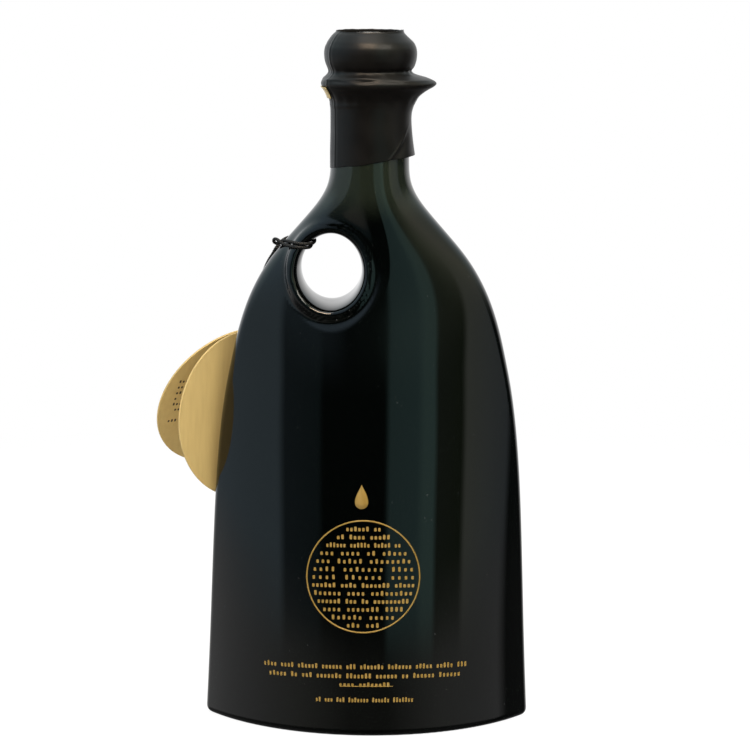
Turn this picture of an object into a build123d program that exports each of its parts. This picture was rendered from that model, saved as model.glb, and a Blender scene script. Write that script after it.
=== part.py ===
"""Olive oil bottle of dark glass, with a finger hole through its shoulder.

The body is lens shaped in plan and narrows to a round neck with a pouring lip. A squashed ball
stopper sits on the lip, and a shrunk film covers the stopper, the lip and the neck. A thin cord is
hitched round the strap beside the finger hole and carries two round tags.

Millimetres. +X is the side the spout points to, -Y is the printed side, +Z is up, and the origin is
the centre of the base. The bottle is shut and opaque, so it is one solid, glass and oil together.
"""

import os
from math import cos, hypot, pi, radians, sin, sqrt, tan

from build123d import *

# ---------------------------------------------------------------- driving dimensions

# Glass body: (height, half width, half depth, radius of the lens's two ends)
BODY_SECTIONS = [
    (0.0, 61.35, 33.0, 5.0),
    (18.0, 60.5, 32.4, 5.0),
    (36.0, 59.75, 31.7, 5.0),
    (54.0, 59.1, 30.8, 5.0),
    (72.0, 58.4, 29.8, 5.1),
    (90.0, 57.5, 28.5, 5.3),
    (108.0, 56.1, 26.8, 5.6),
    (124.0, 54.1, 24.9, 5.9),
    (138.0, 51.4, 22.7, 6.3),
    (150.0, 48.3, 20.5, 6.8),
    (160.0, 44.8, 18.7, 7.2),
    (169.0, 40.3, 17.4, 7.7),
    (177.0, 35.0, 16.5, 8.3),
]
NECK_RADIUS = 14.6
# Shoulder above it: (height, how much wider and deeper than the neck, radius of the two ends)
SHOULDER_SECTIONS = [
    (185.0, 13.8, 1.2, 9.0),
    (192.0, 8.0, 0.65, 10.0),
    (198.5, 3.1, 0.25, 11.5),
]
NECK_START = 206.0  # the body is round from here up
NECK_EASE = 0.15  # and this much wider than the neck there
BODY_TOP = 212.0
NECK_TOP = 228.0  # where the lip's curve begins
NECK_STEP = 0.05  # the drawn neck starts this much inside the body's top, under the film
JOIN_ANGLE = 26.0  # degrees; where the round sections' end arcs meet the broad ones
BASE_FILLET = 3.0  # or the largest that the pointed ends of the base take
FILLET_TOLERANCE = 0.1  # of the search for that largest one
BASE_RECESS = 1.5  # push-up under the base
BASE_RING = 8.0  # width of the ring that the bottle stands on

# Finger hole through the left shoulder
HOLE_X = -14.0
HOLE_Z = 172.2
HOLE_RADIUS = 13.3
RIM_ROUNDING = 2.4
RIM_DEPTH = 12.6  # half depth of the rim's crest at the hole's axis
RIM_TURN = 8.0  # degrees; the rim is shallower towards the strap
RIM_TIP = 5.0  # degrees; and shallower towards the neck
DISH_SLOPE = 32.0  # degrees; the glass falls to the rim at this slope
DISH_WIDTH = 16.0  # radial width of the dish's cutter, past the body's bulge

# Pouring lip: (height above the neck, how far it stands out, how far the spout reaches past it)
LIP_SECTIONS = [
    (0.0, 0.0, 0.0),
    (3.5, 0.05, 0.7),
    (6.5, 0.3, 1.8),
    (9.0, 1.0, 3.0),
    (11.0, 2.4, 4.9),
    (12.3, 3.25, 6.3),
    (13.5, 2.9, 6.0),
    (14.6, 1.6, 3.6),
]
LIP_HEIGHT = 15.2
LIP_TOP_FLARE = 0.7
LIP_TOP_SPOUT = 1.4
SPOUT_SHARPNESS = 4  # power of the cosine that narrows the spout
OUTLINE_POINTS = 24

# Stopper: a squashed ball with a flat top, on the lip
STOPPER_RADIUS = 16.75
STOPPER_MIDDLE = 8.1  # height of its widest ring above the lip
STOPPER_HEIGHT = 15.8
UPPER_CURVE = 8.05
LOWER_CURVE = 10.05

# Shrunk film over stopper, lip and neck
FILM_THICKNESS = 0.35
FILM_CLEARANCE = 0.10
FILM_MOUTH = 0.35  # the film's opening is this much wider than the stopper's flat top
FILM_COLLAR = 1.1  # height of the edge that stands up round that opening
FILM_SKIRT = 16.7  # how far the film reaches down from the neck's top, at the bottle's axis
FILM_END_TILT = 9.8  # degrees; the cut edge rises towards the spout
FLARE = 1.9  # how far the film stands off the neck on the spout side, at the flare's foot
FLARE_LENGTH = 21.0  # from the neck's top down to the flare's foot, which is past the skirt's end
FLARE_STEPS = 4

# Gold strip on the film, under the back of the lip
STRIP_THICKNESS = 0.25
STRIP_CLEARANCE = 0.05
STRIP_LOW = 7.7  # height of its lower edge above the neck's top
STRIP_WIDTH = 3.6
STRIP_FROM = 100.0  # degrees round from the spout
STRIP_TO = 200.0

# Tags
TAG_RADIUS = 32.0
TAG_THICKNESS = 0.8
TAG_HOLE_RADIUS = 2.25
TAG_HOLE_INSET = 4.5  # from the tag's edge to the middle of its hole
INNER_TAG_HOLE = (-47.5, 13.3, 141.2)
INNER_TAG_TURN = 42.8  # degrees about Z, to lie along the glass
INNER_TAG_LEAN = 0.5  # degrees that its lower edge stands out
INNER_TAG_SWING = 0.0  # degrees that it hangs off plumb, in its own plane
OUTER_TAG_HOLE = (-47.7, 18.1, 141.7)
OUTER_TAG_TURN = 35.2
OUTER_TAG_LEAN = 29.0
OUTER_TAG_SWING = 0.0

# Cord: looped twice round the strap beside the finger hole, both ends in a knot behind the tags
CORD_DIAMETER = 1.1
CORD_EASE = 0.45  # share of the shorter run that each bend takes up
CORD_ROUTE = [
    # from the knot through both tags' holes
    (-47.6, 20.6, 142.5),
    (-47.25, 17.7, 142.2),
    (-47.1, 15.0, 141.8),
    (-46.9, 12.4, 142.1),
    # up between the tag and the glass, close to the bottle's edge
    (-45.7, 10.2, 144.3),
    (-44.2, 9.0, 149.2),
    (-41.7, 8.4, 158.5),
    (-39.0, 7.1, 168.0),
    (-36.8, 4.5, 174.2),
    (-35.1, 2.8, 178.4),
    # over the strap's far face and through the finger hole
    (-32.9, 5.0, 181.5),
    (-29.6, 8.3, 182.4),
    (-26.4, 10.6, 182.0),
    (-23.4, 11.9, 181.5),
    (-21.5, 9.6, 181.2),
    (-21.2, 5.0, 181.4),
    (-21.3, 0.0, 181.2),
    (-21.2, -5.0, 181.4),
    (-21.5, -9.6, 181.2),
    # back over the near face to the outer edge
    (-23.4, -11.7, 181.4),
    (-26.4, -10.3, 181.7),
    (-29.8, -7.7, 182.1),
    (-32.8, -4.7, 182.2),
    (-35.5, -1.4, 181.8),
    # the loop's end, standing off the edge
    (-37.1, 1.4, 181.0),
    (-37.4, 1.4, 178.9),
    (-36.0, -1.4, 178.1),
    # the second strand over the near face
    (-33.6, -5.0, 178.8),
    (-30.2, -8.0, 179.5),
    (-26.8, -10.5, 179.8),
    (-23.8, -11.9, 179.7),
    (-21.9, -9.8, 179.6),
    # through the finger hole and over the far face
    (-21.6, -5.0, 179.8),
    (-21.7, 0.0, 179.6),
    (-21.6, 5.0, 179.8),
    (-21.9, 9.8, 179.6),
    (-23.8, 12.2, 179.7),
    (-26.8, 11.0, 179.9),
    (-30.2, 8.7, 179.7),
    (-33.7, 6.3, 178.6),
    # down beside the first strand
    (-36.7, 5.5, 175.8),
    (-39.4, 7.6, 170.8),
    (-41.6, 9.6, 163.8),
    (-43.9, 10.2, 155.5),
    (-46.3, 10.5, 147.8),
    (-47.9, 11.3, 143.3),
    # through the tags' holes to the knot
    (-48.4, 12.9, 140.5),
    (-48.3, 15.4, 140.2),
    (-48.5, 17.9, 140.8),
    (-48.85, 20.7, 141.1),
]
KNOT_RADIUS = 2.6
KNOT_CENTRE = (-48.2, 22.1, 142.1)

CUTTER = 90.0  # reach of the plain cutters, past everything they cut


# ---------------------------------------------------------------- outlines


def lens_outline(height, half_width, half_depth, end_radius):
    """A lens with rounded ends, level at the height: two broad arcs and two end arcs."""
    end_centre = half_width - end_radius
    broad = (end_centre**2 + half_depth**2 - end_radius**2) / (2 * (half_depth - end_radius))
    back = broad - half_depth  # the broad arc's centre lies this far past the long axis
    share = broad / hypot(end_centre, back)
    join_x = end_centre * share
    join_y = back * share - back
    return four_arcs(height, half_width, half_depth, join_x, join_y)


def four_arcs(height, half_width, half_depth, join_x, join_y):
    """A closed face of four arcs that meet at (+-join_x, +-join_y)."""
    near_left = (-join_x, -join_y, height)
    near_right = (join_x, -join_y, height)
    far_right = (join_x, join_y, height)
    far_left = (-join_x, join_y, height)
    edges = [
        ThreePointArc(near_left, (0, -half_depth, height), near_right),
        ThreePointArc(near_right, (half_width, 0, height), far_right),
        ThreePointArc(far_right, (0, half_depth, height), far_left),
        ThreePointArc(far_left, (-half_width, 0, height), near_left),
    ]
    return Face(Wire(edges))


def round_outline(height, radius):
    """A circle in the same four arcs as the lens, so that the two can be joined by one loft."""
    join_angle = radians(JOIN_ANGLE)
    return four_arcs(height, radius, radius, radius * cos(join_angle), radius * sin(join_angle))


def spout_outline(height, radius, spout):
    """A circle drawn out towards +X by the spout's reach."""
    points = []
    for step in range(OUTLINE_POINTS):
        angle = radians(360 * step / OUTLINE_POINTS)
        reach = radius + spout * max(0.0, cos(angle)) ** SPOUT_SHARPNESS
        points.append((reach * cos(angle), reach * sin(angle), height))
    return Face(Wire([Spline(*points, periodic=True)]))


# ---------------------------------------------------------------- bottle


def glass_body():
    """The lens shaped body up to the neck, with its base rounded and pushed up."""
    sections = [lens_outline(*section) for section in BODY_SECTIONS]
    for height, wider, deeper, end_radius in SHOULDER_SECTIONS:
        half_width, half_depth = NECK_RADIUS + wider, NECK_RADIUS + deeper
        sections.append(lens_outline(height, half_width, half_depth, end_radius))
    sections.append(round_outline(NECK_START, NECK_RADIUS + NECK_EASE))
    sections.append(round_outline(BODY_TOP, NECK_RADIUS))
    body = loft(sections)
    base_edges = body.edges().group_by(Axis.Z)[0]
    largest = body.max_fillet(base_edges, FILLET_TOLERANCE, max_iterations=20)
    body = fillet(base_edges, min(BASE_FILLET, largest))
    _, half_width, half_depth, end_radius = BODY_SECTIONS[0]
    recess = lens_outline(0.0, half_width - BASE_RING, half_depth - BASE_RING, end_radius)
    return body - extrude(recess, BASE_RECESS, dir=(0, 0, 1))


def hole_mouth():
    """The cutter for the near mouth of the finger hole: rounded rim, then the dish round it."""
    crest = HOLE_RADIUS + RIM_ROUNDING
    rise = DISH_WIDTH * tan(radians(DISH_SLOPE))
    corner = RIM_ROUNDING * (1 - sqrt(0.5))
    outline = [
        Line((0, -RIM_ROUNDING), (HOLE_RADIUS, -RIM_ROUNDING)),
        ThreePointArc((HOLE_RADIUS, -RIM_ROUNDING), (HOLE_RADIUS + corner, -corner), (crest, 0)),
        Line((crest, 0), (crest + DISH_WIDTH, rise)),
        Line((crest + DISH_WIDTH, rise), (0, rise)),
        Line((0, rise), (0, -RIM_ROUNDING)),
    ]
    cutter = revolve(Face(Wire(outline)), Axis.Y)
    cutter = Rot(X=180) * cutter
    cutter = Rot(X=RIM_TIP, Z=-RIM_TURN) * cutter
    return Pos(HOLE_X, -RIM_DEPTH, HOLE_Z) * cutter


def finger_hole():
    """The whole cutter: a straight bore and a mouth on each face."""
    widest = max(section[2] for section in BODY_SECTIONS)
    bore = Pos(HOLE_X, 0, HOLE_Z) * Rot(X=90) * Cylinder(HOLE_RADIUS, 2 * widest)
    mouth = hole_mouth()
    return bore + mouth + mirror(mouth, Plane.XZ)


def neck_and_lip():
    """The round neck from the body's top, and the lip and its spout above it."""
    height = NECK_TOP - BODY_TOP
    neck = Pos(0, 0, BODY_TOP + height / 2) * Cylinder(NECK_RADIUS - NECK_STEP, height)
    return neck + lip(0.0)


def lip(offset):
    """The lip with its spout, grown by an offset all round and above."""
    radius = NECK_RADIUS + offset
    sections = [(NECK_TOP + up, radius + out, spout) for up, out, spout in LIP_SECTIONS]
    sections.append((NECK_TOP + LIP_HEIGHT + offset, radius + LIP_TOP_FLARE, LIP_TOP_SPOUT))
    return loft([spout_outline(*section) for section in sections], ruled=True)


def bottle():
    """The body, its finger hole, the neck and the lip."""
    return glass_body() - finger_hole() + neck_and_lip()


# ---------------------------------------------------------------- stopper and film


def ball_radius(height, curve, offset):
    """The ball's radius at a height above the lip, on a side of the given curve."""
    rise = height - STOPPER_MIDDLE
    return STOPPER_RADIUS - curve + sqrt((curve + offset) ** 2 - rise**2)


def ball(offset):
    """The stopper's squashed ball on the lip, grown outwards and upwards by an offset."""

    def arc(low, high, curve):
        heights = (low, (low + high) / 2, high)
        return ThreePointArc(*[(ball_radius(h, curve, offset), 0, h) for h in heights])

    top = STOPPER_HEIGHT + offset
    flat = ball_radius(top, UPPER_CURVE, offset)
    foot = ball_radius(0, LOWER_CURVE, offset)
    outline = [
        Line((0, 0, 0), (foot, 0, 0)),
        arc(0, STOPPER_MIDDLE, LOWER_CURVE),
        arc(STOPPER_MIDDLE, top, UPPER_CURVE),
        Line((flat, 0, top), (0, 0, top)),
        Line((0, 0, top), (0, 0, 0)),
    ]
    return Pos(0, 0, NECK_TOP + LIP_HEIGHT) * revolve(Face(Wire(outline)), Axis.Z)


def stopper():
    """The squashed ball that closes the bottle."""
    return ball(0.0)


def closure_envelope(offset):
    """Stopper, lip and neck in one, grown by an offset; the neck flares on the spout side."""
    sections = []
    for index in range(FLARE_STEPS + 1):
        share = 1 - index / FLARE_STEPS
        height = NECK_TOP - share * FLARE_LENGTH
        sections.append((height, NECK_RADIUS + offset, FLARE * share**2))
    skirt = loft([spout_outline(*section) for section in sections], ruled=True)
    return skirt + lip(offset) + ball(offset)


def shrink_film():
    """The film: a thin skin over the closure, open over the stopper and cut off askew below."""
    outside = FILM_CLEARANCE + FILM_THICKNESS
    film = closure_envelope(outside) - closure_envelope(FILM_CLEARANCE)
    stopper_top = NECK_TOP + LIP_HEIGHT + STOPPER_HEIGHT
    mouth = ball_radius(STOPPER_HEIGHT, UPPER_CURVE, 0.0) + FILM_MOUTH
    collar_height = FILM_COLLAR + FILM_THICKNESS
    opening = Cylinder(mouth, 3 * collar_height)
    film -= Pos(0, 0, stopper_top) * opening
    collar = Cylinder(mouth + FILM_THICKNESS, collar_height) - opening
    film += Pos(0, 0, stopper_top + FILM_CLEARANCE + collar_height / 2) * collar
    below = Pos(0, 0, -CUTTER / 2) * Box(CUTTER, CUTTER, CUTTER)
    return film - Pos(0, 0, NECK_TOP - FILM_SKIRT) * Rot(Y=-FILM_END_TILT) * below


def seal_strip():
    """The gold strip that lies on the film under the back of the lip."""
    inside = FILM_CLEARANCE + FILM_THICKNESS + STRIP_CLEARANCE
    band = closure_envelope(inside + STRIP_THICKNESS) - closure_envelope(inside)
    angles = [STRIP_FROM, (STRIP_FROM + STRIP_TO) / 2, STRIP_TO]
    corners = [(CUTTER * cos(radians(angle)), CUTTER * sin(radians(angle))) for angle in angles]
    sector = make_face(Polyline((0, 0), *corners, close=True))
    return band & extrude(Plane.XY.offset(NECK_TOP + STRIP_LOW) * sector, STRIP_WIDTH)


# ---------------------------------------------------------------- tags and cord


def tag(hole, turn, lean, swing):
    """A round tag hung by its hole, turned about Z, leaning out at the bottom, and swung."""
    hole_at = TAG_RADIUS - TAG_HOLE_INSET
    disc = Rot(X=90) * Cylinder(TAG_RADIUS, TAG_THICKNESS)
    disc -= Pos(0, 0, hole_at) * Rot(X=90) * Cylinder(TAG_HOLE_RADIUS, 2 * TAG_THICKNESS)
    hung = Pos(0, 0, -hole_at) * disc
    return Pos(*hole) * Rot(Z=turn) * Rot(X=lean) * Rot(Y=swing) * hung


def cord_radii():
    """The bend radius at each inner point: an arc as large as its two runs allow."""
    points = [Vector(*point) for point in CORD_ROUTE]
    radii = []
    for before, here, after in zip(points, points[1:], points[2:]):
        turn = (here - before).get_angle(after - here)
        shorter = min((here - before).length, (after - here).length)
        radii.append(CORD_EASE * shorter / tan(radians(turn / 2)))
    return radii


def tag_cord():
    """The cord: a tube along straight runs joined by tangent arcs."""
    radii = cord_radii()
    path = FilletPolyline(*CORD_ROUTE, radius=radii)
    start = Plane(origin=path @ 0, z_dir=path % 0)
    tube = sweep(start * Circle(CORD_DIAMETER / 2), path=path)
    swept = path.length * pi * CORD_DIAMETER**2 / 4
    print("cord radii", [round(radius, 1) for radius in radii])
    print("cord length", round(path.length, 1), "volume", round(tube.volume, 1), "of", round(swept, 1))
    return tube


def cord_knot(cord):
    """The small round knot that the cord's two ends run into."""
    return Pos(*KNOT_CENTRE) * Sphere(KNOT_RADIUS) - cord


# ---------------------------------------------------------------- files


def main():
    """Write one STEP file for each piece."""
    os.makedirs("parts", exist_ok=True)
    cord = tag_cord()
    pieces = {
        "bottle": bottle(),
        "stopper": stopper(),
        "shrink_film": shrink_film(),
        "seal_strip": seal_strip(),
        "inner_tag": tag(INNER_TAG_HOLE, INNER_TAG_TURN, INNER_TAG_LEAN, INNER_TAG_SWING),
        "outer_tag": tag(OUTER_TAG_HOLE, OUTER_TAG_TURN, OUTER_TAG_LEAN, OUTER_TAG_SWING),
        "tag_cord": cord,
        "cord_knot": cord_knot(cord),
    }
    for name, piece in pieces.items():
        export_step(piece, f"parts/{name}.step")


if __name__ == "__main__":
    main()
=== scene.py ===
"""Looks of the olive oil bottle with a finger hole through its shoulder.

The shape classes hold their sizes in millimetres and the meshes that they build are in metres, in
the part's own frame: +X is the side the spout points to, -Y is the printed side and +Z is up.
"""

from __future__ import annotations

import logging
import math
from dataclasses import dataclass, field
from enum import Enum
from typing import Any, Callable, Sequence

import bmesh
import bpy
import numpy as np
from mathutils import Matrix, Vector
from mathutils.geometry import delaunay_2d_cdt

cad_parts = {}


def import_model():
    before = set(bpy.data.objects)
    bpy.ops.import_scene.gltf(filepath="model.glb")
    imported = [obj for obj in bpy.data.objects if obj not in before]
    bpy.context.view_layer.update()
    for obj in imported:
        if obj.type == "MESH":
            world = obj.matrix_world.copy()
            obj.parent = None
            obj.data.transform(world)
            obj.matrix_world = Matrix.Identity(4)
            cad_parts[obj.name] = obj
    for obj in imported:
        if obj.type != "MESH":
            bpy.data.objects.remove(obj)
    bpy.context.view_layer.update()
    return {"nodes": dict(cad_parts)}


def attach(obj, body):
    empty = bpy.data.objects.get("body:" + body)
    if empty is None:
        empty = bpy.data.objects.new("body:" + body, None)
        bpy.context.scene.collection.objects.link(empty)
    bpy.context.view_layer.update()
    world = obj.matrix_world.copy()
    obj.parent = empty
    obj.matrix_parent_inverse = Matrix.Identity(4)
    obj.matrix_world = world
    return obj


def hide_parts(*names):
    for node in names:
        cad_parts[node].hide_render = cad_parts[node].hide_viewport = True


LOG = logging.getLogger("bottle")
MM = 0.001
Triple = tuple[float, float, float]
Colour = Triple


class Slot(Enum):
    """The record's material slots, one named for each kind of piece."""

    GLASS = "dark_glass"
    FILM = "film"
    FOIL = "gold_foil"
    CARD = "gold_card"
    PRINT = "gold_print"
    CORD = "cord"


# ---------------------------------------------------------------- shader tools


class Value:
    """A number in a node tree; arithmetic on it adds Math nodes."""

    def __init__(self, graph: "Graph", socket: bpy.types.NodeSocket) -> None:
        """Wrap a socket of a graph."""
        self.graph = graph
        self.socket = socket

    def _math(self, operation: str, *operands: "Value | float", clamp: bool = False) -> "Value":
        """Add one Math node.

        Args:
            operation: the node's operation.
            operands: its inputs in order.
            clamp: whether the result is kept between 0 and 1.

        Returns:
            The node's result.
        """
        settings = {"operation": operation, "use_clamp": clamp}
        node = self.graph.node("ShaderNodeMath", settings, dict(enumerate(operands)))
        return Value(self.graph, node.outputs[0])

    def __add__(self, other: "Value | float") -> "Value":
        """Sum."""
        return self._math("ADD", self, other)

    __radd__ = __add__

    def __mul__(self, other: "Value | float") -> "Value":
        """Product."""
        return self._math("MULTIPLY", self, other)

    def __truediv__(self, other: "Value | float") -> "Value":
        """Quotient."""
        return self._math("DIVIDE", self, other)

    def clamped(self) -> "Value":
        """Kept between 0 and 1."""
        return self._math("ADD", self, 0.0, clamp=True)

    def ramp(self, low: float, high: float) -> "Value":
        """Smooth step.

        Args:
            low: where the result is 0.
            high: where the result is 1.

        Returns:
            A smooth rise from 0 to 1 between the two.
        """
        settings = {"interpolation_type": "SMOOTHSTEP"}
        inputs = {"Value": self, "From Min": low, "From Max": high}
        node = self.graph.node("ShaderNodeMapRange", settings, inputs)
        return Value(self.graph, node.outputs["Result"])


class Graph:
    """A node tree that is written as expressions."""

    def __init__(self, tree: bpy.types.NodeTree) -> None:
        """Take over a tree and empty it."""
        self.tree = tree
        tree.nodes.clear()

    def node(
        self,
        kind: str,
        settings: dict[str, Any] | None = None,
        inputs: dict[str | int, Any] | None = None,
    ) -> bpy.types.Node:
        """Add a node.

        Args:
            kind: the node's type.
            settings: its own properties, set first; "stops" fills a colour ramp.
            inputs: a value, a Value or a socket for each named or numbered input.

        Returns:
            The new node.
        """
        made = self.tree.nodes.new(kind)
        for name, value in (settings or {}).items():
            if name == "stops":
                self._fill_ramp(made.color_ramp, value)
            else:
                setattr(made, name, value)
        for name, value in (inputs or {}).items():
            self.feed(made.inputs[name], value)
        return made

    def feed(self, socket: bpy.types.NodeSocket, value: Any) -> None:
        """Link a socket to a Value or another socket, or set its own value."""
        if isinstance(value, Value):
            self.tree.links.new(value.socket, socket)
        elif isinstance(value, bpy.types.NodeSocket):
            self.tree.links.new(value, socket)
        else:
            socket.default_value = value

    def value(self, node: bpy.types.Node, output: str | int = 0) -> Value:
        """One output of a node as a number."""
        return Value(self, node.outputs[output])

    def mix(self, share: Value | float, first: Any, second: Any) -> bpy.types.NodeSocket:
        """Blend two colours.

        Args:
            share: how much of the second colour shows.
            first: a colour or a socket.
            second: a colour or a socket.

        Returns:
            The blended colour's socket.
        """
        settings = {"data_type": "RGBA"}
        made = self.node("ShaderNodeMix", settings, {0: share})
        for index, colour in ((6, first), (7, second)):
            self.feed(made.inputs[index], (*colour, 1.0) if isinstance(colour, tuple) else colour)
        return made.outputs[2]

    def noise(self, scale: float, detail: float = 2.0, stretch: Triple = (1, 1, 1)) -> Value:
        """Noise on object coordinates.

        Args:
            scale: features per metre.
            detail: octaves.
            stretch: factor on the scale along each axis.

        Returns:
            The noise, from 0 to 1.
        """
        place = self.node("ShaderNodeTexCoord").outputs["Object"]
        place = self.node("ShaderNodeMapping", {}, {"Vector": place, "Scale": stretch}).outputs[0]
        inputs = {"Vector": place, "Scale": scale, "Detail": detail}
        return self.value(self.node("ShaderNodeTexNoise", {}, inputs), "Fac")

    def _fill_ramp(self, ramp: bpy.types.ColorRamp, stops: Sequence[tuple[float, Colour]]) -> None:
        """Give a colour ramp its stops, each a place and a colour."""
        while len(ramp.elements) < len(stops):
            ramp.elements.new(1.0)
        for element, (place, colour) in zip(ramp.elements, stops):
            element.position = place
            element.color = (*colour, 1.0)


@dataclass(frozen=True)
class Finish:
    """A surface finish, the base of the named ones."""

    name: str
    colour: Colour
    roughness: float

    def material(self) -> bpy.types.Material:
        """Make the finish's material.

        Returns:
            A material whose principled shader is fed by the finish's own inputs.
        """
        made = bpy.data.materials.new(self.name)
        made.use_nodes = True
        graph = Graph(made.node_tree)
        shader = graph.node("ShaderNodeBsdfPrincipled", {}, self.inputs(graph))
        output = graph.node("ShaderNodeOutputMaterial")
        graph.tree.links.new(shader.outputs[0], output.inputs["Surface"])
        return made

    def coat(self, piece: bpy.types.Object) -> bpy.types.Object:
        """Give a piece this finish alone."""
        piece.data.materials.clear()
        piece.data.materials.append(self.material())
        return piece

    def inputs(self, graph: Graph) -> dict[str, Any]:
        """What feeds the principled shader; the named finishes add to it."""
        return {"Base Color": (*self.colour, 1.0), "Roughness": self.roughness}

    @staticmethod
    def bump(graph: Graph, height: Value, depth_mm: float) -> bpy.types.NodeSocket:
        """A bump as deep as depth_mm where the height goes from 0 to 1."""
        inputs = {"Height": height, "Distance": depth_mm * MM, "Strength": 1.0}
        return graph.node("ShaderNodeBump", {}, inputs).outputs[0]


@dataclass(frozen=True)
class GlassFinish(Finish):
    """Near-black bottle glass: glossy, faintly rippled by the mould, with a little dust."""

    dust_colour: Colour = (0.035, 0.04, 0.042)
    # painted light: the empty neck's paler tone stands for light that shines through the glass
    # where there is no oil
    neck_painted_light_colour: Colour = (0.010, 0.0135, 0.009)
    ripple_mm: float = 0.035

    def inputs(self, graph: Graph) -> dict[str, Any]:
        """Colour with dust; paler up the empty neck, a painted glow of the light that shines
        through the empty glass there; smudges, and the mould's ripple.
        """
        specks = graph.noise(900.0, 1.0).ramp(0.74, 0.80) * graph.noise(60.0, 2.0).ramp(0.45, 0.7)
        smudge = graph.noise(28.0, 4.0).ramp(0.35, 0.75)
        ripple = graph.noise(26.0, 1.5, (1.0, 1.0, 0.55))
        fed = super().inputs(graph)
        place = graph.node("ShaderNodeTexCoord").outputs["Object"]
        height = graph.value(graph.node("ShaderNodeSeparateXYZ", {}, {0: place}), "Z")
        # paler up the empty neck: the neck is empty of oil, and its paler tone is painted light
        # seen through the glass
        neck_light_tint = graph.mix(height.ramp(0.189, 0.203), self.colour, self.neck_painted_light_colour)
        fed["Base Color"] = graph.mix(specks * 0.8, neck_light_tint, self.dust_colour)
        fed["Roughness"] = self.roughness + smudge * 0.03 + specks * 0.2
        fed["IOR"] = 1.52
        fed["Normal"] = self.bump(graph, ripple, self.ripple_mm)
        return fed


@dataclass(frozen=True)
class FilmFinish(Finish):
    """Shrunk plastic film: satin, drawn into fine lines round the neck."""

    def inputs(self, graph: Graph) -> dict[str, Any]:
        """Colour, uneven sheen, and fine creases."""
        drawn = graph.noise(420.0, 3.0, (1.0, 1.0, 0.18))
        crumple = graph.noise(150.0, 3.0)
        fed = super().inputs(graph)
        sheen = graph.noise(90.0, 3.0).ramp(0.3, 0.7)
        fed["Base Color"] = graph.mix(sheen, self.colour, tuple(1.5 * c for c in self.colour))
        fed["Roughness"] = self.roughness + sheen * 0.1
        fed["Specular IOR Level"] = 0.3
        fed["Normal"] = self.bump(graph, drawn * 0.35 + crumple * 0.65, 0.09)
        return fed


@dataclass(frozen=True)
class GoldFinish(Finish):
    """Gold foil or gold ink: fine grain, more or less metallic."""

    metallic: float = 1.0
    grain_mm: float = 0.01
    worn_colour: Colour = (0.5, 0.36, 0.14)

    def inputs(self, graph: Graph) -> dict[str, Any]:
        """Colour that varies a little, sheen and grain."""
        mottle = graph.noise(700.0, 3.0, (1.0, 1.0, 0.12)).ramp(0.3, 0.75)
        grain = graph.noise(2600.0, 2.0)
        fed = super().inputs(graph)
        fed["Base Color"] = graph.mix(mottle * 0.3, self.colour, self.worn_colour)
        fed["Metallic"] = self.metallic
        fed["Roughness"] = self.roughness + mottle * 0.08
        fed["Normal"] = self.bump(graph, grain, self.grain_mm)
        return fed


@dataclass(frozen=True)
class ThreadFinish(Finish):
    """Black cord: strands that catch a little light, with fine fibres."""

    def inputs(self, graph: Graph) -> dict[str, Any]:
        """Colour lifted where the fibres are worn, and their bump."""
        fibres = graph.noise(5200.0, 2.0)
        fed = super().inputs(graph)
        fed["Base Color"] = graph.mix(fibres, self.colour, tuple(3.0 * c for c in self.colour))
        fed["Normal"] = self.bump(graph, fibres, 0.03)
        return fed


@dataclass(frozen=True)
class MouldedFinish(Finish):
    """Moulded plastic: satin with a faint orange peel."""

    def inputs(self, graph: Graph) -> dict[str, Any]:
        """Colour, sheen and peel."""
        peel = graph.noise(700.0, 2.0)
        fed = super().inputs(graph)
        fed["Roughness"] = self.roughness + peel * 0.08
        fed["Normal"] = self.bump(graph, peel, 0.02)
        return fed


# ---------------------------------------------------------------- mesh tools


def linked(name: str, data: bpy.types.ID) -> bpy.types.Object:
    """A new object that shows the data, linked to the scene."""
    made = bpy.data.objects.new(name, data)
    bpy.context.scene.collection.objects.link(made)
    return made


def mesh_object(
    name: str, points: np.ndarray, faces: Sequence[Sequence[int]], smooth: bool = True
) -> bpy.types.Object:
    """Make an object at the origin.

    Args:
        name: the piece's name.
        points: its points in millimetres, one row each.
        faces: the point numbers of each face.
        smooth: whether it is shaded smooth.

    Returns:
        The new object, linked to the scene.
    """
    mesh = bpy.data.meshes.new(name)
    mesh.from_pydata((np.asarray(points, float) * MM).tolist(), [], [list(f) for f in faces])
    mesh.update()
    mesh.polygons.foreach_set("use_smooth", [smooth] * len(mesh.polygons))
    return linked(name, mesh)


def baked(source: bpy.types.Object, name: str) -> bpy.types.Object:
    """Turn an object and its modifiers into a plain mesh object, and remove the source.

    Args:
        source: the object to evaluate.
        name: the new piece's name.

    Returns:
        The plain mesh object.
    """
    graph = bpy.context.evaluated_depsgraph_get()
    mesh = bpy.data.meshes.new_from_object(source.evaluated_get(graph), depsgraph=graph)
    mesh.name = name
    bpy.data.objects.remove(source)
    return linked(name, mesh)


def grid_faces(rows: int, columns: int, closed_rows: bool = False) -> list[tuple[int, ...]]:
    """Quads of a grid of points whose columns close on themselves.

    Args:
        rows: how many rows of points.
        columns: how many points in each row.
        closed_rows: whether the last row joins the first.

    Returns:
        The point numbers of each quad.
    """
    faces = []
    for row in range(rows if closed_rows else rows - 1):
        near, far = row * columns, (row + 1) % rows * columns
        for column in range(columns):
            beside = (column + 1) % columns
            faces.append((near + column, near + beside, far + beside, far + column))
    return faces


def smooth_step(value: np.ndarray | float, low: float, high: float) -> np.ndarray:
    """A smooth rise from 0 at low to 1 at high."""
    share = np.clip((np.asarray(value, float) - low) / (high - low), 0.0, 1.0)
    return share * share * (3 - 2 * share)


def hump(value: np.ndarray, centre: float, width: float) -> np.ndarray:
    """A bell of height 1 at the centre, falling off over the width."""
    return np.exp(-(((value - centre) / width) ** 2))


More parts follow.
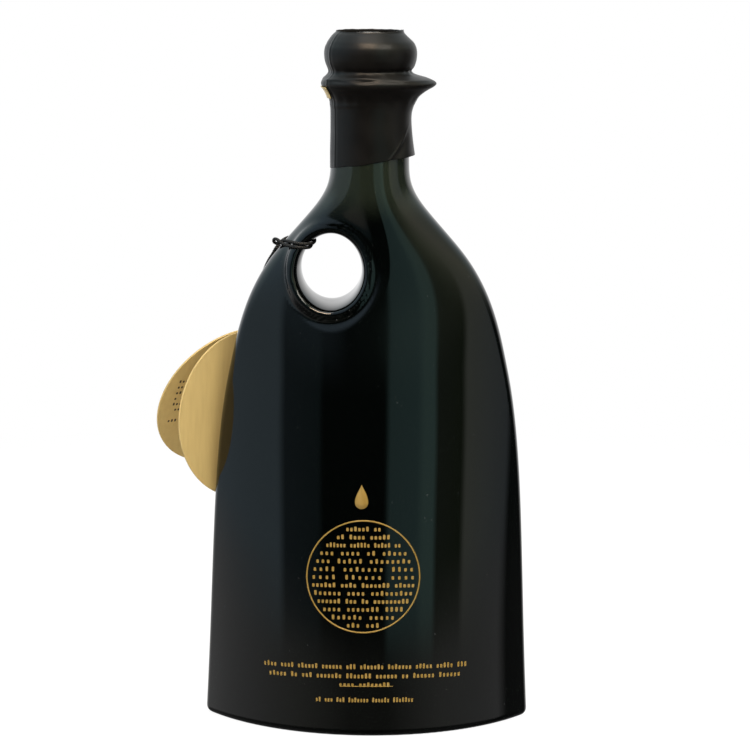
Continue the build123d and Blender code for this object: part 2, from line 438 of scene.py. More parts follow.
def round_max(first: np.ndarray, second: np.ndarray, radius: float) -> np.ndarray:
    """The larger of two distances, with the edge between them rounded to a radius."""
    inside = np.minimum(np.maximum(first, second), -radius)
    return inside + np.hypot(np.maximum(first + radius, 0), np.maximum(second + radius, 0))


def soft_max(first: np.ndarray, second: np.ndarray, reach: float) -> np.ndarray:
    """The larger of two values, blended where they are closer than the reach."""
    near = np.maximum(reach - np.abs(first - second), 0) / reach
    return np.maximum(first, second) + near * near * reach / 4


class Profile:
    """A smooth curve through pairs of height and value."""

    STEP = 0.1

    def __init__(self, knots: Sequence[tuple[float, float]], ease: float = 0.0) -> None:
        """Fit the curve.

        Args:
            knots: pairs of height and value, in rising order.
            ease: how far the values are averaged up and down, so that reflections run evenly.
        """
        heights, values = np.array(knots, float).T
        runs, slopes = np.diff(heights), np.diff(values) / np.diff(heights)
        inner = np.where(
            slopes[1:] * slopes[:-1] > 0,
            (runs[1:] + runs[:-1])
            / (
                runs[1:] / np.where(slopes[:-1] == 0, 1, slopes[:-1])
                + runs[:-1] / np.where(slopes[1:] == 0, 1, slopes[1:])
                + 1e-12
            ),
            0.0,
        )
        tangents = np.concatenate([slopes[:1], inner, slopes[-1:]])
        self.grid = np.arange(heights[0], heights[-1] + self.STEP, self.STEP)
        cell = np.clip(np.searchsorted(heights, self.grid, side="right") - 1, 0, len(runs) - 1)
        t = (self.grid - heights[cell]) / runs[cell]
        self.values = (
            (1 + 2 * t) * (1 - t) ** 2 * values[cell]
            + t * (1 - t) ** 2 * runs[cell] * tangents[cell]
            + t * t * (3 - 2 * t) * values[cell + 1]
            + t * t * (t - 1) * runs[cell] * tangents[cell + 1]
        )
        if ease:
            self._even_out(ease)

    def _even_out(self, ease: float) -> None:
        """Average the values with a bell as wide as the ease, running on straight at both ends."""
        reach = int(4 * ease / self.STEP)
        offsets = np.arange(-reach, reach + 1)
        bell = np.exp(-0.5 * (offsets * self.STEP / ease) ** 2)
        first, last = self.values[0], self.values[-1]
        ahead = 2 * first - self.values[reach:0:-1]
        behind = 2 * last - self.values[-2 : -reach - 2 : -1]
        padded = np.concatenate([ahead, self.values, behind])
        self.values = np.convolve(padded, bell / bell.sum(), mode="valid")

    def __call__(self, height: np.ndarray) -> np.ndarray:
        """The value at each height."""
        return np.interp(height, self.grid, self.values)


# ---------------------------------------------------------------- glass


@dataclass
class GlassShape:
    """The bottle's outer surface as a distance that is negative inside the glass."""

    # height, half width, half depth, radius of the lens's two ends
    sections: Sequence[tuple[float, float, float, float]] = (
        (0.0, 61.35, 33.0, 5.0),
        (18.0, 60.5, 32.4, 5.0),
        (36.0, 59.75, 31.7, 5.0),
        (54.0, 59.1, 30.8, 5.0),
        (72.0, 58.4, 29.8, 5.1),
        (90.0, 57.5, 28.5, 5.3),
        (108.0, 56.1, 26.8, 5.6),
        (124.0, 54.1, 24.9, 5.9),
        (138.0, 51.4, 22.7, 6.3),
        (150.0, 48.6, 20.5, 6.8),
        (160.0, 45.3, 18.7, 7.2),
        (169.0, 41.0, 17.4, 7.7),
        (177.0, 35.8, 16.5, 8.3),
        (185.0, 29.0, 15.8, 9.0),
        (192.0, 22.9, 15.25, 10.0),
        (198.5, 17.7, 14.85, 11.5),
        (206.0, 14.75, 14.75, 14.7),
        (212.0, 14.6, 14.6, 14.55),
        (228.0, 14.6, 14.6, 14.55),
    )
    # height, radius, how far the spout reaches past it
    lip: Sequence[Triple] = (
        (220.0, 14.6, 0.0),
        (228.0, 14.6, 0.0),
        (231.5, 14.65, 0.7),
        (234.5, 14.9, 1.8),
        (237.0, 15.6, 3.0),
        (239.0, 17.0, 4.9),
        (240.3, 17.7, 6.1),
        (241.5, 17.4, 5.8),
        (242.6, 16.2, 3.6),
        (243.4, 15.3, 1.4),
    )
    lip_from: float = 224.0
    top: float = 243.2
    top_rounding: float = 1.0
    spout_sharpness: float = 4.0
    ease: float = 3.0
    base_fillet: float = 3.0
    base_push: float = 1.5
    base_ring: float = 7.0
    hole_x: float = -14.6
    hole_z: float = 172.2
    hole_radius: float = 13.2
    crest_radius: float = 15.8
    hole_squeeze: float = 0.9  # width of the hole over its height
    strap_waist: float = 1.3  # how far the strap's inner side bulges into the hole
    wall_power: float = 2.9  # how square the hole's wall is in section
    strap_power: float = 2.1
    rim_depth: float = 15.0
    rim_turn: float = 6.5  # degrees; the rim is shallower towards the strap
    rim_tip: float = 12.0  # degrees; and shallower towards the neck
    collar_radius: float = 18.0
    collar_rounding: float = 2.4
    collar_stand: float = 0.5
    collar_blend: float = 2.2
    dish_slope: float = 24.0
    dish_fade: float = 2.0  # how far the dish runs out under the hole
    dish_blend: float = 3.5
    dish_start: float = 4.0  # over how far past the collar the dish starts to climb
    dish_run: float = 5.0  # over how far past the collar it runs out
    least_blend: float = 0.05
    hole_reach: float = 60.0  # the hole, its collar and the dish end within this radius
    ring_run: float = 6.0  # over how far the base's ring turns into the push-up
    step: float = 0.02  # how far apart the distance is compared to find its rate
    least_rate: float = 0.05

    def __post_init__(self) -> None:
        """Fit the profiles to the section tables."""
        table = np.array(self.sections, float)
        self.width, self.depth, self.end = (
            Profile(list(zip(table[:, 0], table[:, column])), self.ease) for column in (1, 2, 3)
        )
        rim = np.array(self.lip, float)
        self.lip_radius, self.spout = (
            Profile(list(zip(rim[:, 0], rim[:, column])), 0.3) for column in (1, 2)
        )

    def side(self, points: np.ndarray) -> np.ndarray:
        """Distance from the lens shaped body, the neck and the lip, seen in plan.

        Args:
            points: one row each.

        Returns:
            One distance for each point.
        """
        x, y, z = points.T
        on_lip = z > self.lip_from
        radius = self.lip_radius(z)
        width = np.where(on_lip, radius, self.width(z))
        depth = np.where(on_lip, radius, self.depth(z))
        end = np.minimum(np.where(on_lip, radius, self.end(z)), depth - 0.05)
        tip = np.maximum(width - end, 0.02)
        broad = (tip**2 + depth**2 - end**2) / (2 * (depth - end))
        back = broad - depth
        along, across = np.abs(x), np.abs(y)
        at_end = (along - tip) * back > across * tip
        end_arc = np.hypot(along - tip, across) - end
        broad_arc = np.hypot(along, across + back) - broad
        towards = np.maximum(x / np.maximum(np.hypot(x, y), 1e-6), 0.0)
        spout = np.where(on_lip, self.spout(z), 0.0) * towards**self.spout_sharpness
        return np.where(at_end, end_arc, broad_arc) - spout

    def rim_plane(self, points: np.ndarray) -> tuple[np.ndarray, np.ndarray]:
        """Radius from the finger hole's axis, and the half depth of its rim there."""
        x, _, z = points.T
        across, up = x - self.hole_x, z - self.hole_z
        turn, tip = (math.tan(math.radians(a)) for a in (self.rim_turn, self.rim_tip))
        out = np.hypot(across / self.hole_squeeze, up)
        return out, self.rim_depth + turn * across - tip * up

    def dish(self, points: np.ndarray) -> np.ndarray:
        """Distance from the shallow dish round the finger hole's collar."""
        out, depth = self.rim_plane(points)
        past = out - self.collar_radius
        slope = math.tan(math.radians(self.dish_slope))
        climb = soft_max(past, np.zeros_like(past), self.dish_start)
        rise = (points[:, 2] - self.hole_z) / np.maximum(out, 1e-6)
        stand = self.collar_stand * (1 - smooth_step(rise, -0.1, 0.9))
        below = smooth_step(-rise, 0.0, 0.9)
        fade = self.dish_fade * below * smooth_step(past, 0.0, self.dish_run)
        height = depth - stand + fade + slope * climb
        return (np.abs(points[:, 1]) - height) / math.hypot(1, slope)

    def wall(self, points: np.ndarray) -> np.ndarray:
        """Distance from the finger hole's wall, which rolls over to the rim's crest."""
        out, depth = self.rim_plane(points)
        towards = smooth_step((self.hole_x - points[:, 0]) / np.maximum(out, 1e-6), -0.3, 1.0)
        power = self.wall_power + (self.strap_power - self.wall_power) * towards
        reach = self.crest_radius - self.hole_radius + self.strap_waist * towards
        a = np.maximum((self.crest_radius - out) / reach, 0.0)
        b = np.abs(points[:, 1]) / depth
        size = np.maximum((a**power + b**power) ** (1 / power), 1e-3)
        rate = np.hypot(a ** (power - 1) / reach, b ** (power - 1) / depth) * size ** (1 - power)
        return (size - 1) / np.maximum(rate, 1e-3)

    def distance(self, points: np.ndarray) -> np.ndarray:
        """Distance from the whole surface, negative inside.

        Args:
            points: one row each.

        Returns:
            One distance for each point.
        """
        z = points[:, 2]
        side = self.side(points)
        out, _ = self.rim_plane(points)
        wall = self.wall(points)
        collar = round_max(wall, out - self.collar_radius, self.collar_rounding)
        body = soft_max(side, self.dish(points), self.dish_blend)
        blend = self.collar_blend * smooth_step(out, self.crest_radius, self.collar_radius)
        body = -soft_max(-body, -collar, blend + self.least_blend)
        body = np.where(out < self.crest_radius, np.maximum(body, wall), body)
        body = np.where(out < self.hole_reach, body, side)
        push_end = self.base_ring + self.ring_run
        push = self.base_push * smooth_step(-side, self.base_ring, push_end)
        body = round_max(body, push - z, self.base_fillet)
        return round_max(body, z - self.top, self.top_rounding)

    def gradient(self, points: np.ndarray) -> np.ndarray:
        """Direction and rate in which the distance grows at each point."""
        rates = []
        for axis in range(3):
            shift = np.zeros(3)
            shift[axis] = self.step
            rise = self.distance(points + shift) - self.distance(points - shift)
            rates.append(rise / (2 * self.step))
        return np.stack(rates, axis=1)

    def settle(self, points: np.ndarray, rounds: int = 4) -> np.ndarray:
        """Move points on to the surface along its normals."""
        for _ in range(rounds):
            rate = self.gradient(points)
            square = np.maximum((rate**2).sum(1), self.least_rate)
            points = points - rate * (self.distance(points) / square)[:, None]
        return points

    def normals(self, points: np.ndarray) -> np.ndarray:
        """Unit normals at points on the surface."""
        rate = self.gradient(points)
        return rate / np.linalg.norm(rate, axis=1)[:, None]

    def drape(self, x: np.ndarray, z: np.ndarray, lift: float) -> np.ndarray:
        """Points on the printed face.

        Args:
            x: places along X.
            z: heights.
            lift: how far off the glass they stand.

        Returns:
            One point for each pair, one row each.
        """
        x, z = np.asarray(x, float), np.asarray(z, float)
        points = np.stack([x, -self.depth(z) - 1.0, z], axis=1)
        for _ in range(6):
            rate = self.gradient(points)[:, 1]
            rate = np.where(np.abs(rate) < self.least_rate, -self.least_rate, rate)
            points[:, 1] -= self.distance(points) / rate
        return points + lift * self.normals(points)


@dataclass
class Bottle:
    """The glass: an even mesh settled on to the shape."""

    shape: GlassShape
    finish: Finish
    voxel: float = 0.95
    relax_rounds: int = 8
    rim_reach: float = 24.0
    rim_rounds: int = 140

    def build(self, node: bpy.types.Object) -> bpy.types.Object:
        """Make the glass from a closed copy of the CAD node.

        Args:
            node: the CAD node to start from, which is left as it is.

        Returns:
            The glass piece.
        """
        start = self._remeshed(node)
        mesh = start.data
        points = np.empty(len(mesh.vertices) * 3)
        mesh.vertices.foreach_get("co", points)
        points = self.shape.settle(points.reshape(-1, 3) / MM)
        edges = np.empty(len(mesh.edges) * 2, int)
        mesh.edges.foreach_get("vertices", edges)
        points = self._relaxed(points, edges.reshape(-1, 2))
        mesh.vertices.foreach_set("co", (points * MM).ravel())
        mesh.polygons.foreach_set("use_smooth", [True] * len(mesh.polygons))
        mesh.update()
        mesh.normals_split_custom_set_from_vertices(self.shape.normals(points).tolist())
        return self.finish.coat(start)

    def _remeshed(self, node: bpy.types.Object) -> bpy.types.Object:
        """A closed copy of the node, remeshed to even squares."""
        copy = linked("glass_start", node.data.copy())
        weld = copy.modifiers.new("weld", "WELD")
        weld.merge_threshold = 0.002 * MM
        remesh = copy.modifiers.new("remesh", "REMESH")
        remesh.mode = "VOXEL"
        remesh.voxel_size = self.voxel * MM
        return baked(copy, "bottle_glass")

    def _relaxed(self, points: np.ndarray, edges: np.ndarray) -> np.ndarray:
        """Even out the squares, with more rounds at the finger hole's rim."""
        points = self._slid(points, edges, np.arange(len(points)), self.relax_rounds)
        across, up = points[:, 0] - self.shape.hole_x, points[:, 2] - self.shape.hole_z
        near = np.flatnonzero(np.hypot(across, up) < self.rim_reach)
        points = self._slid(points, edges, near, self.rim_rounds)
        return self.shape.settle(points, 2)

    def _slid(
        self, points: np.ndarray, edges: np.ndarray, loose: np.ndarray, rounds: int
    ) -> np.ndarray:
        """Slide the loose points along the surface towards the middle of their neighbours."""
        is_loose = np.zeros(len(points), bool)
        is_loose[loose] = True
        edges = edges[is_loose[edges].any(axis=1)]
        count = np.bincount(edges.ravel(), minlength=len(points)).astype(float)[loose, None]
        for _ in range(rounds):
            total = np.zeros_like(points)
            np.add.at(total, edges[:, 0], points[edges[:, 1]])
            np.add.at(total, edges[:, 1], points[edges[:, 0]])
            shift = total[loose] / count - points[loose]
            normal = self.shape.normals(points[loose])
            shift -= normal * (shift * normal).sum(1)[:, None]
            points[loose] = self.shape.settle(points[loose] + 0.5 * shift, 1)
        return points


# ---------------------------------------------------------------- print


@dataclass(frozen=True)
class MarkRow:
    """A row of small upright marks: its height, its two ends and how many places it has."""

    height: float
    left: float
    right: float
    places: int
    tall: float = 1.9


@dataclass
class Print:
    """The gold print: a drop, a ring with rows of marks in it, and rows of marks below."""

    shape: GlassShape
    finish: Finish
    tilt: float = 0.35  # degrees
    bow: float = 0.0009  # how much the rows droop, per millimetre squared
    middle: float = -1.1
    relief: float = 0.05
    root: float = -0.02  # how far its underside goes into the glass
    ring_height: float = 60.65
    ring_radius: float = 20.9
    ring_line: float = 0.52
    row_first: float = 78.5
    row_pitch: float = 3.0
    # half length and number of places of each row in the ring
    ring_rows: Sequence[tuple[float, int]] = (
        (6.6, 9),
        (10.0, 13),
        (13.9, 22),
        (16.4, 17),
        (17.9, 18),
        (19.0, 17),
        (19.5, 16),
        (19.2, 25),
        (18.5, 21),
        (17.1, 23),
        (15.1, 17),
        (12.0, 12),
        (6.3, 7),
    )
    low_rows: Sequence[MarkRow] = (
        MarkRow(26.9, -38.3, 37.8, 59, 1.9),
        MarkRow(23.4, -36.3, 35.4, 52, 1.9),
        MarkRow(20.1, -9.9, 9.2, 13, 1.7),
        MarkRow(14.3, -18.6, 17.9, 33, 1.8),
    )
    underline: Triple = (19.45, -8.9, 10.2)
    drop_top: float = 95.0
    drop_bottom: float = 85.9
    drop_width: float = 5.4
    drop_x: float = -1.85
    mark_fill: float = 0.62  # a mark's width over its place's
    mark_most: float = 0.95  # and no wider than this
    tall_share: float = 0.3  # how many of the marks have the row's full height
    short_mark: float = 0.74  # height of the others over it
    seed: int = 7

    def build(self) -> list[bpy.types.Object]:
        """Make all of the print.

        Returns:
            The ring, the drop, the marks and the underline.
        """
        material = self.finish.material()
        pieces = [self._ring(), self._drop(), self._line(), *self._marks(material)]
        for piece in pieces:
            if not piece.data.materials:
                piece.data.materials.append(material)
        return pieces

    def _place(self, x: np.ndarray, z: np.ndarray) -> tuple[np.ndarray, np.ndarray]:
        """Tilt and bow the print as it lies on the glass."""
        along = np.asarray(x, float) - self.middle
        lean = math.tan(math.radians(self.tilt)) * along
        return np.asarray(x, float), np.asarray(z, float) + lean - self.bow * along**2

    def _on_glass(self, x: np.ndarray, z: np.ndarray, lift: float) -> np.ndarray:
        """Points of the print on the glass."""
        return self.shape.drape(*self._place(x, z), lift)

    def _band(
        self, name: str, x: np.ndarray, z: np.ndarray, across: np.ndarray, closed: bool
    ) -> bpy.types.Object:
        """A raised line: points along it, and the half width vectors at them."""
        corners = [
            self._on_glass(x + side * across[:, 0], z + side * across[:, 1], lift)
            for side, lift in (
                (-1, self.root),
                (-1, self.relief),
                (1, self.relief),
                (1, self.root),
            )
        ]
        points = np.stack(corners, axis=1).reshape(-1, 3)
        faces = grid_faces(len(x), 4, closed_rows=closed)
        if not closed:
            last = 4 * (len(x) - 1)
            faces += [(0, 1, 2, 3), (last + 3, last + 2, last + 1, last)]
        return outward(mesh_object(name, points, faces))

    def _ring(self) -> bpy.types.Object:
        """The thin ring."""
        angle = np.linspace(0, 2 * math.pi, 240, endpoint=False)
        out = np.stack([np.cos(angle), np.sin(angle)], axis=1)
        middle = self.middle + self.ring_radius * out[:, 0]
        height = self.ring_height + self.ring_radius * out[:, 1]
        return self._band("print_ring", middle, height, out * self.ring_line / 2, True)

    def _line(self) -> bpy.types.Object:
        """The thin line under the third low row."""
        height, left, right = self.underline
        x = np.linspace(left, right, 40)
        across = np.tile([0.0, 0.12], (40, 1))
        return self._band("print_underline", x, np.full(40, height), across, False)

    def _drop(self) -> bpy.types.Object:
        """A plain drop: round below and pointed above."""
        tall = self.drop_top - self.drop_bottom
        turn = np.linspace(0, 2 * math.pi, 96, endpoint=False)
        side = np.sin(turn) * np.sin(turn / 2) ** 1.5 / 0.77 * self.drop_width / 2
        rise = self.drop_bottom + tall * (1 + np.cos(turn)) / 2
        centre = self.drop_bottom + 0.42 * tall
        shell = [(share, self.root) for share in (0.0, 0.5, 1.0)]
        shell += [(share, self.relief) for share in (1.0, 0.5, 0.0)]
        rings = [
            self._on_glass(self.drop_x + side * share, centre + (rise - centre) * share, lift)
            for share, lift in shell
        ]
        made = mesh_object("print_drop", np.concatenate(rings), grid_faces(len(rings), 96))
        return outward(made, merge=0.001)

    def _all_rows(self) -> list[MarkRow]:
        """The rows in the ring and the rows below it."""
        rows = []
        for index, (half, places) in enumerate(self.ring_rows):
            height = self.row_first - index * self.row_pitch
            rows.append(MarkRow(height, self.middle - half, self.middle + half, places, 1.75))
        return rows + list(self.low_rows)

    def _marks(self, material: bpy.types.Material) -> list[bpy.types.Object]:
        """Every small mark, set out on the glass and given its shape by geometry nodes."""
        dice = np.random.default_rng(self.seed)
        x, z, wide, tall = [], [], [], []
        for row in self._all_rows():
            pitch = (row.right - row.left) / row.places
            until_gap = int(dice.integers(3, 8))
            for place in range(row.places):
                until_gap -= 1
                if until_gap == 0 and place < row.places - 2:
                    until_gap = int(dice.integers(3, 9))
                    continue
                x.append(row.left + pitch * (place + 0.5))
                z.append(row.height - row.tall / 2)
                wide.append(min(self.mark_fill * pitch, self.mark_most))
                share = 1.0 if dice.random() < self.tall_share else self.short_mark
                tall.append(row.tall * share)
        points = self._on_glass(np.array(x), np.array(z), 0.0)
        ahead = self._on_glass(np.array(x) + 0.5, np.array(z), 0.0) - points
        seat = mark_seats(points, self.shape.normals(points), ahead, wide, tall)
        return [MarkNodes(self.relief).apply(seat, material, "print_marks")]


def mark_seats(
    points: np.ndarray,
    out: np.ndarray,
    ahead: np.ndarray,
    wide: Sequence[float],
    tall: Sequence[float],
) -> bpy.types.Object:
    """Points that marks are put on.

    Args:
        points: where the marks are, in millimetres.
        out: the surface's normal at each.
        ahead: the direction in which each mark's row runs.
        wide: the marks' widths.
        tall: the marks' heights.

    Returns:
        A mesh of points that carries the rest as attributes.
    """
    seat = mesh_object("mark_seats", points, [])
    for name, rows in (("out", out), ("ahead", ahead)):
        layer = seat.data.attributes.new(name, "FLOAT_VECTOR", "POINT")
        layer.data.foreach_set("vector", np.asarray(rows, float).ravel())
    for name, sizes in (("wide", wide), ("tall", tall)):
        layer = seat.data.attributes.new(name, "FLOAT", "POINT")
        layer.data.foreach_set("value", np.array(sizes) * MM)
    return seat


def outward(piece: bpy.types.Object, merge: float = 0.0) -> bpy.types.Object:
    """Turn a closed piece's faces outwards.

    Args:
        piece: the piece.
        merge: points closer than this, in millimetres, are merged first.

    Returns:
        The same piece.
    """
    work = bmesh.new()
    work.from_mesh(piece.data)
    if merge:
        bmesh.ops.remove_doubles(work, verts=work.verts, dist=merge * MM)
    bmesh.ops.recalc_face_normals(work, faces=work.faces)
    work.to_mesh(piece.data)
    work.free()
    return piece


@dataclass
class MarkNodes:
    """Geometry nodes that put a small rounded mark on each point of a mesh."""

    relief: float
    corner: float = 0.25
    inputs: dict[str, str] = field(default_factory=dict)

    def apply(
        self, seat: bpy.types.Object, material: bpy.types.Material, name: str
    ) -> bpy.types.Object:
        """Run the nodes on a mesh of points.

        Args:
            seat: points with their normals, directions and sizes; it is removed.
            material: what the marks are made of.
            name: the new piece's name.

        Returns:
            The marks as one plain mesh.
        """
        tree = self._tree()
        modifier = seat.modifiers.new("marks", "NODES")
        modifier.node_group = tree
        modifier[self.inputs["Relief"]] = 2 * self.relief * MM
        modifier[self.inputs["Corner"]] = self.corner
        modifier[self.inputs["Ink"]] = material
        return baked(seat, name)

    def _tree(self) -> bpy.types.NodeTree:
        """Build the tree: a rounded slab, turned to the surface and sized at each point."""
        tree = bpy.data.node_groups.new("raised marks", "GeometryNodeTree")
        doors = tree.interface
        doors.new_socket("Geometry", in_out="INPUT", socket_type="NodeSocketGeometry")
        for label, kind in (
            ("Relief", "NodeSocketFloat"),
            ("Corner", "NodeSocketFloat"),
            ("Ink", "NodeSocketMaterial"),
        ):
            made = doors.new_socket(label, in_out="INPUT", socket_type=kind)
            self.inputs[label] = made.identifier
        doors.new_socket("Geometry", in_out="OUTPUT", socket_type="NodeSocketGeometry")
        graph = Graph(tree)
        given = graph.node("NodeGroupInput").outputs

        def step(kind: str, settings: dict[str, Any], **inputs: Any) -> bpy.types.NodeSocket:
            """Add a node; an underscore in an input's name stands for a space."""
            named = {name.replace("_", " "): value for name, value in inputs.items()}
            return graph.node(kind, settings, named).outputs[0]

        out, ahead, wide, tall = (
            step("GeometryNodeInputNamedAttribute", {"data_type": kind}, Name=name)
            for name, kind in (
                ("out", "FLOAT_VECTOR"),
                ("ahead", "FLOAT_VECTOR"),
                ("wide", "FLOAT"),
                ("tall", "FLOAT"),
            )
        )
        curve = step(
            "GeometryNodeCurvePrimitiveQuadrilateral", {"mode": "RECTANGLE"}, Width=1.0, Height=1.0
        )
        fillet = {"Curve": curve, "Count": 3, "Radius": given["Corner"], "Limit_Radius": True}
        curve = step("GeometryNodeFilletCurve", {"mode": "POLY"}, **fillet)
        face = step("GeometryNodeFillCurve", {}, Curve=curve)
        rise = {"Mesh": face, "Offset_Scale": 1.0, "Individual": False}
        joined = graph.node("GeometryNodeJoinGeometry")
        for part in (
            step("GeometryNodeExtrudeMesh", {"mode": "FACES"}, **rise),
            step("GeometryNodeFlipFaces", {}, Mesh=face),
        ):
            tree.links.new(part, joined.inputs[0])
        mark = step("GeometryNodeMergeByDistance", {}, Geometry=joined.outputs[0], Distance=0.001)
        mark = step("GeometryNodeTransform", {}, Geometry=mark, Translation=(0.0, 0.5, -0.5))
        align = "FunctionNodeAlignRotationToVector"
        facing = step(align, {"axis": "Z"}, Vector=out)
        level = step(align, {"axis": "X", "pivot_axis": "Z"}, Rotation=facing, Vector=ahead)
        size = step("ShaderNodeCombineXYZ", {}, X=wide, Y=tall, Z=given["Relief"])
        spread = {"Points": given["Geometry"], "Instance": mark, "Rotation": level, "Scale": size}
        marks = step("GeometryNodeInstanceOnPoints", {}, **spread)
        marks = step("GeometryNodeRealizeInstances", {}, Geometry=marks)
        marks = step("GeometryNodeSetMaterial", {}, Geometry=marks, Material=given["Ink"])
        graph.node("NodeGroupOutput", {}, {0: marks})
        return tree


# ---------------------------------------------------------------- film


@dataclass
class Film:
    """The shrunk film: one sheet drawn down over the stopper, the lip and the neck."""

    finish: Finish
    # radius, height and the reach towards the spout, from the opening on top down to the neck
    profile: Sequence[Triple] = (
        (12.5, 259.75, 0.0),
        (12.4, 259.45, 0.0),
        (12.8, 259.2, 0.0),
        (13.85, 258.2, 0.0),
        (14.95, 257.0, 0.0),
        (15.9, 255.9, 0.0),
        (16.5, 254.8, 0.0),
        (16.95, 253.7, 0.0),
        (17.2, 251.6, 0.0),
        (17.05, 249.6, 0.0),
        (16.6, 247.8, 0.0),
        (15.95, 246.2, 0.0),
        (15.6, 245.2, 0.0),
        (15.7, 244.5, 0.15),
        (16.3, 243.8, 1.2),
        (17.2, 242.8, 3.4),
        (18.0, 241.7, 5.7),
        (18.35, 240.7, 6.2),
        (18.1, 239.7, 5.6),
        (17.1, 238.5, 4.5),
        (16.3, 237.2, 3.4),
        (15.6, 235.6, 2.3),
        (15.1, 233.8, 1.75),
        (14.85, 231.6, 1.0),
        (14.8, 229.4, 0.55),
        (14.8, 228.0, 0.45),
    )
    skirt_radius: float = 14.8
    cut_height: float = 211.9
    cut_tilt: float = 9.0  # degrees, rising towards the spout
    flare: float = 1.6
    thickness: float = 0.14
    columns: int = 224
    head_rows: int = 96
    skirt_rows: int = 52
    fold_angle: float = -150.0  # degrees round from the spout

    def build(self) -> bpy.types.Object:
        """Make the film.

        Returns:
            The film as one closed thin piece.
        """
        turn = np.linspace(-math.pi, math.pi, self.columns, endpoint=False)
        radius, height, reach = self._head()
        rows = [self._ring(turn, *row) for row in zip(radius, height, reach)]
        rows += self._skirt(turn)
        points = self._creased(np.stack(rows))
        faces = grid_faces(len(rows), self.columns)
        sheet = outward(mesh_object("film_sheet", points.reshape(-1, 3), faces))
        wall = sheet.modifiers.new("wall", "SOLIDIFY")
        wall.thickness = self.thickness * MM
        wall.offset = -1.0
        return self.finish.coat(baked(sheet, "film_cover"))

    def _head(self) -> tuple[np.ndarray, np.ndarray, np.ndarray]:
        """Radius, height and reach down the head, evenly spaced along its profile."""
        knots = np.array(self.profile, float)
        run = np.concatenate([[0], np.cumsum(np.hypot(*np.diff(knots[:, :2], axis=0).T))])
        even = np.linspace(0, run[-1], self.head_rows)
        curves = [Profile(list(zip(run, knots[:, k])), 0.25) for k in range(3)]
        return tuple(curve(even) for curve in curves)

    def _ring(self, turn: np.ndarray, radius: float, height: float, reach: float) -> np.ndarray:
        """One level ring of the head."""
        return round_z(turn, radius + reach * np.maximum(np.cos(turn), 0) ** 4, height)

    def _skirt(self, turn: np.ndarray) -> list[np.ndarray]:
        """The rings from the head down to the slanting cut edge."""
        _, top, reach = self.profile[-1]
        start = self.skirt_radius + reach * np.maximum(np.cos(turn), 0) ** 4
        slope = math.tan(math.radians(self.cut_tilt))
        rows = []
        for index in range(1, self.skirt_rows + 1):
            share = index / self.skirt_rows
            stand = self.flare * share**1.6 * smooth_step(np.cos(turn), 0.25, 1.0)
            out = start * (1 - share) + self.skirt_radius * share + stand
            cut = self.cut_height + slope * out * np.cos(turn)
            cut = cut + 0.12 * np.sin(5 * turn + 0.6) + 0.08 * np.sin(11 * turn)
            rows.append(round_z(turn, out, top + (cut - top) * share))
        return rows

    def _creased(self, points: np.ndarray) -> np.ndarray:
        """Add the folds, pleats and wrinkles that the shrinking left."""
        x, y, z = points[..., 0], points[..., 1], points[..., 2]
        turn = np.arctan2(y, x)
        out = np.hypot(x, y)
        lift = np.zeros_like(out)
        # the two seams, each with a shallow welt beside it
        for angle, high in ((self.fold_angle, 0.32), (self.fold_angle + 180, 0.28)):
            off = np.angle(np.exp(1j * (turn - math.radians(angle)))) * out
            lift += high * hump(off, 0.0, 0.45) * smooth_step(out, 11.6, 13.5)
            lift += 0.12 * hump(off, 1.6, 1.2)
        # pleats under the lip, and a crease at its back
        under_lip = hump(z, 235.2, 2.4)
        lift += 0.10 * under_lip * np.sin(17 * turn + 1.5 * np.sin(3 * turn))
        lift += 0.16 * hump(z + 0.5 * np.sin(2 * turn + 1.0), 233.0, 0.7) * hump(turn, -2.5, 0.9)
        # pleats at the waist, long waves down the neck, and the tuck under the knob
        waist = hump(z, 245.2, 1.3)
        lift += 0.10 * waist * np.sin(23 * turn + 2.0 * np.sin(2 * turn))
        lift += 0.10 * hump(z, 221.0, 9.0) * np.sin(3 * turn + z / 5.0)
        lift -= 0.5 * hump(z, 245.4, 0.75) * smooth_step(-np.cos(turn), 0.9, 0.2)
        # the folds that lie along the lip
        fold = hump(z, 242.7 + 0.5 * np.sin(3 * turn + 0.4), 0.55)
        lift += 0.6 * fold * (0.6 + 0.4 * np.sin(7 * turn + 1.2))
        lift -= 0.35 * hump(z, 241.9 + 0.4 * np.sin(4 * turn), 0.45) * np.sin(5 * turn + 0.3) ** 2
        lift += self._flap(turn, z)
        grow = 1 + lift / np.maximum(out, 1e-6)
        moved = points.copy()
        moved[..., 0] *= grow
        moved[..., 1] *= grow
        return self._standing_edge(moved, turn)

    def _flap(self, turn: np.ndarray, z: np.ndarray) -> np.ndarray:
        """The loose flap on the spout side, which a slanting crease sets off."""
        arc = turn * self.skirt_radius
        crease = -16.0 + 0.85 * (z - 213.0)
        past = arc - crease
        near = smooth_step(turn, 1.2, 0.4) * smooth_step(turn, -1.6, -1.1)
        low = smooth_step(z, 229.0, 214.0)
        ridge = 0.34 * hump(past, 0.0, 0.45)
        hollow = -0.12 * hump(past, 1.9, 1.3)
        stand = 0.35 * smooth_step(past, 0.0, 6.0)
        return low * near * (ridge + hollow + stand)

    def _standing_edge(self, points: np.ndarray, turn: np.ndarray) -> np.ndarray:
        """Raise the cut edge round the opening, more on one side."""
        away = smooth_step(np.sin(turn[0]), -0.6, 0.7)
        for row, share in enumerate(np.linspace(1.0, 0.0, 4)):
            rise = 0.05 + 0.30 * away + 0.55 * hump(turn[row], -0.15, 0.4)
            rise = rise + 0.04 * np.sin(9 * turn[row]) + 0.03 * np.sin(21 * turn[row] + 1.0)
            points[row, :, 2] += share * rise
        fuller = 0.5 * smooth_step(points[..., 2], 255.0, 258.5)
        points[..., 0] -= fuller * (1 - 0.4 * hump(points[..., 2], 260.0, 0.6))
        return points


